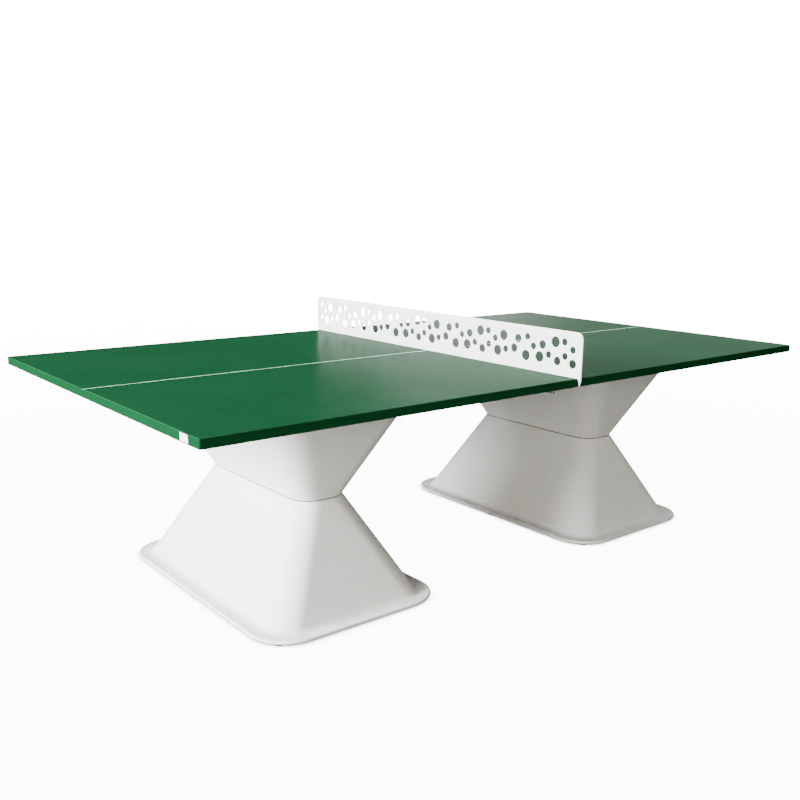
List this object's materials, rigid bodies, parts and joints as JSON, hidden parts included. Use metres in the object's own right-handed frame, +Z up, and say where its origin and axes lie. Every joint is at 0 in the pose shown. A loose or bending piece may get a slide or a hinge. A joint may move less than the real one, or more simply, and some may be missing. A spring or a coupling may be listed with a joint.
{
  "type": "ping pong table",
  "caption": "Full-size table tennis table: green two-part laminate top, perforated white steel net plate, and white waisted plastic pedestals on flanged feet.",
  "frame": {"origin": "on the floor, under the middle of the table", "axes": "+X along the length of the table, +Y across it, +Z up"},
  "size_m": [2.74, 1.553, 0.9125],
  "materials": {
    "laminate_green": "dense green laminate with a satin, slightly reflective face",
    "line_white": "white filler strip, flush and satin",
    "net_white": "white powder coat, fine satin texture",
    "shell_white": "white rotationally moulded plastic, matte with a faint mould grain",
    "zinc_steel": "bright zinc plate",
    "brass": "plain machined brass",
    "rubber_black": "matte black rubber",
    "dowel_wood": "plain turned beech",
    "label_white": "blank white label with nothing printed on it"
  },
  "bodies": {
    "root": {"half_top_left": "laminate_green", "half_top_right": "laminate_green", "centre_line_left": "line_white", "centre_line_right": "line_white", "net_plate": "net_white", "net_bracket_1": "zinc_steel", "net_bracket_2": "zinc_steel", "net_bracket_3": "zinc_steel", "net_bracket_4": "zinc_steel", "net_bracket_5": "zinc_steel", "net_bracket_6": "zinc_steel", "net_bracket_7": "zinc_steel", "net_bracket_8": "zinc_steel", "net_bolts": "zinc_steel", "net_nuts": "zinc_steel", "net_washers": "zinc_steel", "bracket_screws": "zinc_steel", "splice_plate_1": "zinc_steel", "splice_plate_2": "zinc_steel", "splice_plate_3": "zinc_steel", "splice_screws": "zinc_steel", "dowels": "dowel_wood", "blank_label": "label_white", "lower_shell_left": "shell_white", "upper_shell_left": "shell_white", "waist_gasket_left": "rubber_black", "clamp_bar_left_1": "zinc_steel", "clamp_bar_left_2": "zinc_steel", "waist_bolts_left": "zinc_steel", "waist_washers_left": "zinc_steel", "rim_screws_left": "zinc_steel", "rim_washers_left": "zinc_steel", "rim_inserts_left": "brass", "foot_left_1": "rubber_black", "foot_left_2": "rubber_black", "foot_left_3": "rubber_black", "foot_left_4": "rubber_black", "foot_left_5": "rubber_black", "foot_left_6": "rubber_black", "lower_shell_right": "shell_white", "upper_shell_right": "shell_white", "waist_gasket_right": "rubber_black", "clamp_bar_right_1": "zinc_steel", "clamp_bar_right_2": "zinc_steel", "waist_bolts_right": "zinc_steel", "waist_washers_right": "zinc_steel", "rim_screws_right": "zinc_steel", "rim_washers_right": "zinc_steel", "rim_inserts_right": "brass", "foot_right_1": "rubber_black", "foot_right_2": "rubber_black", "foot_right_3": "rubber_black", "foot_right_4": "rubber_black", "foot_right_5": "rubber_black", "foot_right_6": "rubber_black"}
  },
  "joints": []
}
